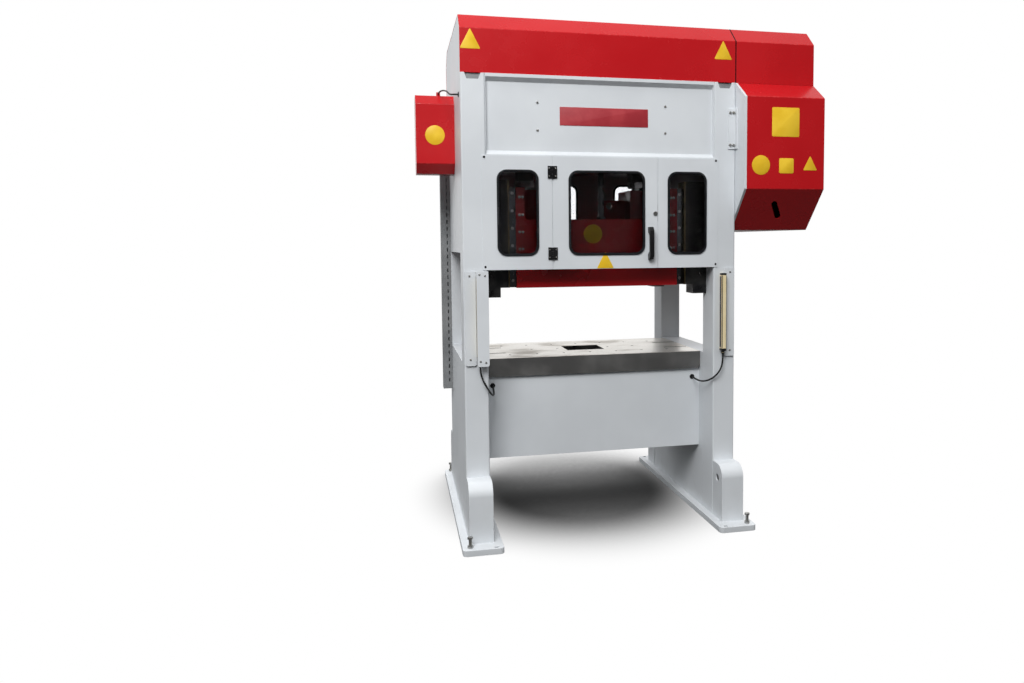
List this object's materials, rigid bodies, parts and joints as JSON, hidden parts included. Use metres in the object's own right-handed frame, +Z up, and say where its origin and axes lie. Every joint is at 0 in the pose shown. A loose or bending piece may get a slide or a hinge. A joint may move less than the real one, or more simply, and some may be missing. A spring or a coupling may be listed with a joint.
{
  "type": "mechanical press",
  "caption": "Straight-side mechanical press with a guarded slide, twin-rod eccentric drive, side flywheel housing, bolster and glazed front door.",
  "frame": {"origin": "centre of the four anchor holes, on the floor under the feet", "axes": "+Z up, the working front faces -Y, the drive housing is on +X"},
  "size_m": [2.037, 1.384, 2.556],
  "materials": {
    "white_paint": "satin",
    "red_paint": "satin",
    "machined_steel": "ground",
    "blackened_steel": "satin",
    "bronze": "machined",
    "rubber": "matte",
    "clear_pane": "clear",
    "black_plastic": "textured",
    "zinc": "plated",
    "curtain_yellow": "satin",
    "motor_paint": "satin",
    "grey_plastic": "matte",
    "cable_sheath": "matte"
  },
  "bodies": {
    "press_frame": {"bearing_plates": "white_paint", "bed_front_plate": "white_paint", "bed_rear_plate": "white_paint", "bed_ribs": "white_paint", "bolster": "machined_steel", "cable_duct": "grey_plastic", "cam_switches": "zinc", "column_front_left": "white_paint", "column_front_right": "white_paint", "column_rear_left": "white_paint", "column_rear_right": "white_paint", "counterbalance_cylinders": "zinc", "cover_end_plate": "white_paint", "cover_extension": "red_paint", "crown_floor": "white_paint", "crown_front": "white_paint", "crown_rear": "white_paint", "curtain_cable_left": "cable_sheath", "curtain_cable_right": "cable_sheath", "curtain_covers": "white_paint", "drive_guard": "red_paint", "drive_motor": "motor_paint", "drive_mounting_plate": "white_paint", "encoder_cable": "cable_sheath", "encoder_cover": "red_paint", "fixed_gaskets": "rubber", "fixed_panes": "clear_pane", "foot_left": "white_paint", "foot_right": "white_paint", "gib_blocks": "blackened_steel", "gib_liners": "bronze", "guard_left_panel": "white_paint", "guard_right_panel": "white_paint", "hinge_leaves_fixed": "black_plastic", "hinge_pins": "zinc", "level_bolts": "zinc", "light_curtains": "curtain_yellow", "main_bushes": "bronze", "rear_guard": "white_paint", "side_walls_left": "white_paint", "side_walls_right": "white_paint", "top_cover": "red_paint", "vee_belts": "rubber"},
    "crank": {"crankshaft": "machined_steel", "clutch_brake": "blackened_steel", "timing_cams": "blackened_steel"},
    "rods": {"connecting_rod_left": "blackened_steel", "connecting_rod_right": "blackened_steel", "ball_screws": "machined_steel"},
    "slide": {"slide_body": "red_paint", "slide_guide_bars": "machined_steel", "counterbalance_rods": "machined_steel"},
    "flywheel": {"flywheel": "blackened_steel"},
    "motor_rotor": {"motor_pulley": "blackened_steel"},
    "door": {"guard_door": "white_paint", "door_gasket": "rubber", "door_pane": "clear_pane", "hinge_leaves_door": "black_plastic", "door_handle": "black_plastic"},
    "lock": {"door_lock": "zinc"}
  },
  "joints": [
    {"name": "crank_turn", "type": "hinge", "parent": "press_frame", "child": "crank", "pos_m": [0, 0, 2.025], "axis": [1, 0, 0], "range_deg": [0, 180]},
    {"name": "rods_turn", "type": "hinge", "parent": "crank", "child": "rods", "pos_m": [0, 0, 2.055], "axis": [1, 0, 0], "range_deg": [-180, 0]},
    {"name": "slide_travel", "type": "slide", "parent": "press_frame", "child": "slide", "axis": [0, 0, 1], "range_m": [-0.06, 0]},
    {"name": "flywheel_spin", "type": "hinge", "parent": "press_frame", "child": "flywheel", "pos_m": [0, 0, 2.025], "axis": [1, 0, 0], "continuous": true},
    {"name": "motor_spin", "type": "hinge", "parent": "press_frame", "child": "motor_rotor", "pos_m": [0, 0.305, 2.408], "axis": [1, 0, 0], "continuous": true},
    {"name": "door_swing", "type": "hinge", "parent": "press_frame", "child": "door", "pos_m": [-0.26, -0.494, 1.603], "axis": [0, 0, -1], "range_deg": [0, 110]},
    {"name": "lock_turn", "type": "hinge", "parent": "door", "child": "lock", "pos_m": [0.267, -0.488, 1.601], "axis": [0, 1, 0], "range_deg": [0, 90]}
  ],
  "couplings": [
    {"joint": "slide_travel", "follows": "crank_turn", "m_per_rad": -0.019098},
    {"joint": "rods_turn", "follows": "crank_turn", "ratio": -1},
    {"joint": "motor_spin", "follows": "flywheel_spin", "ratio": 6.2069}
  ]
}
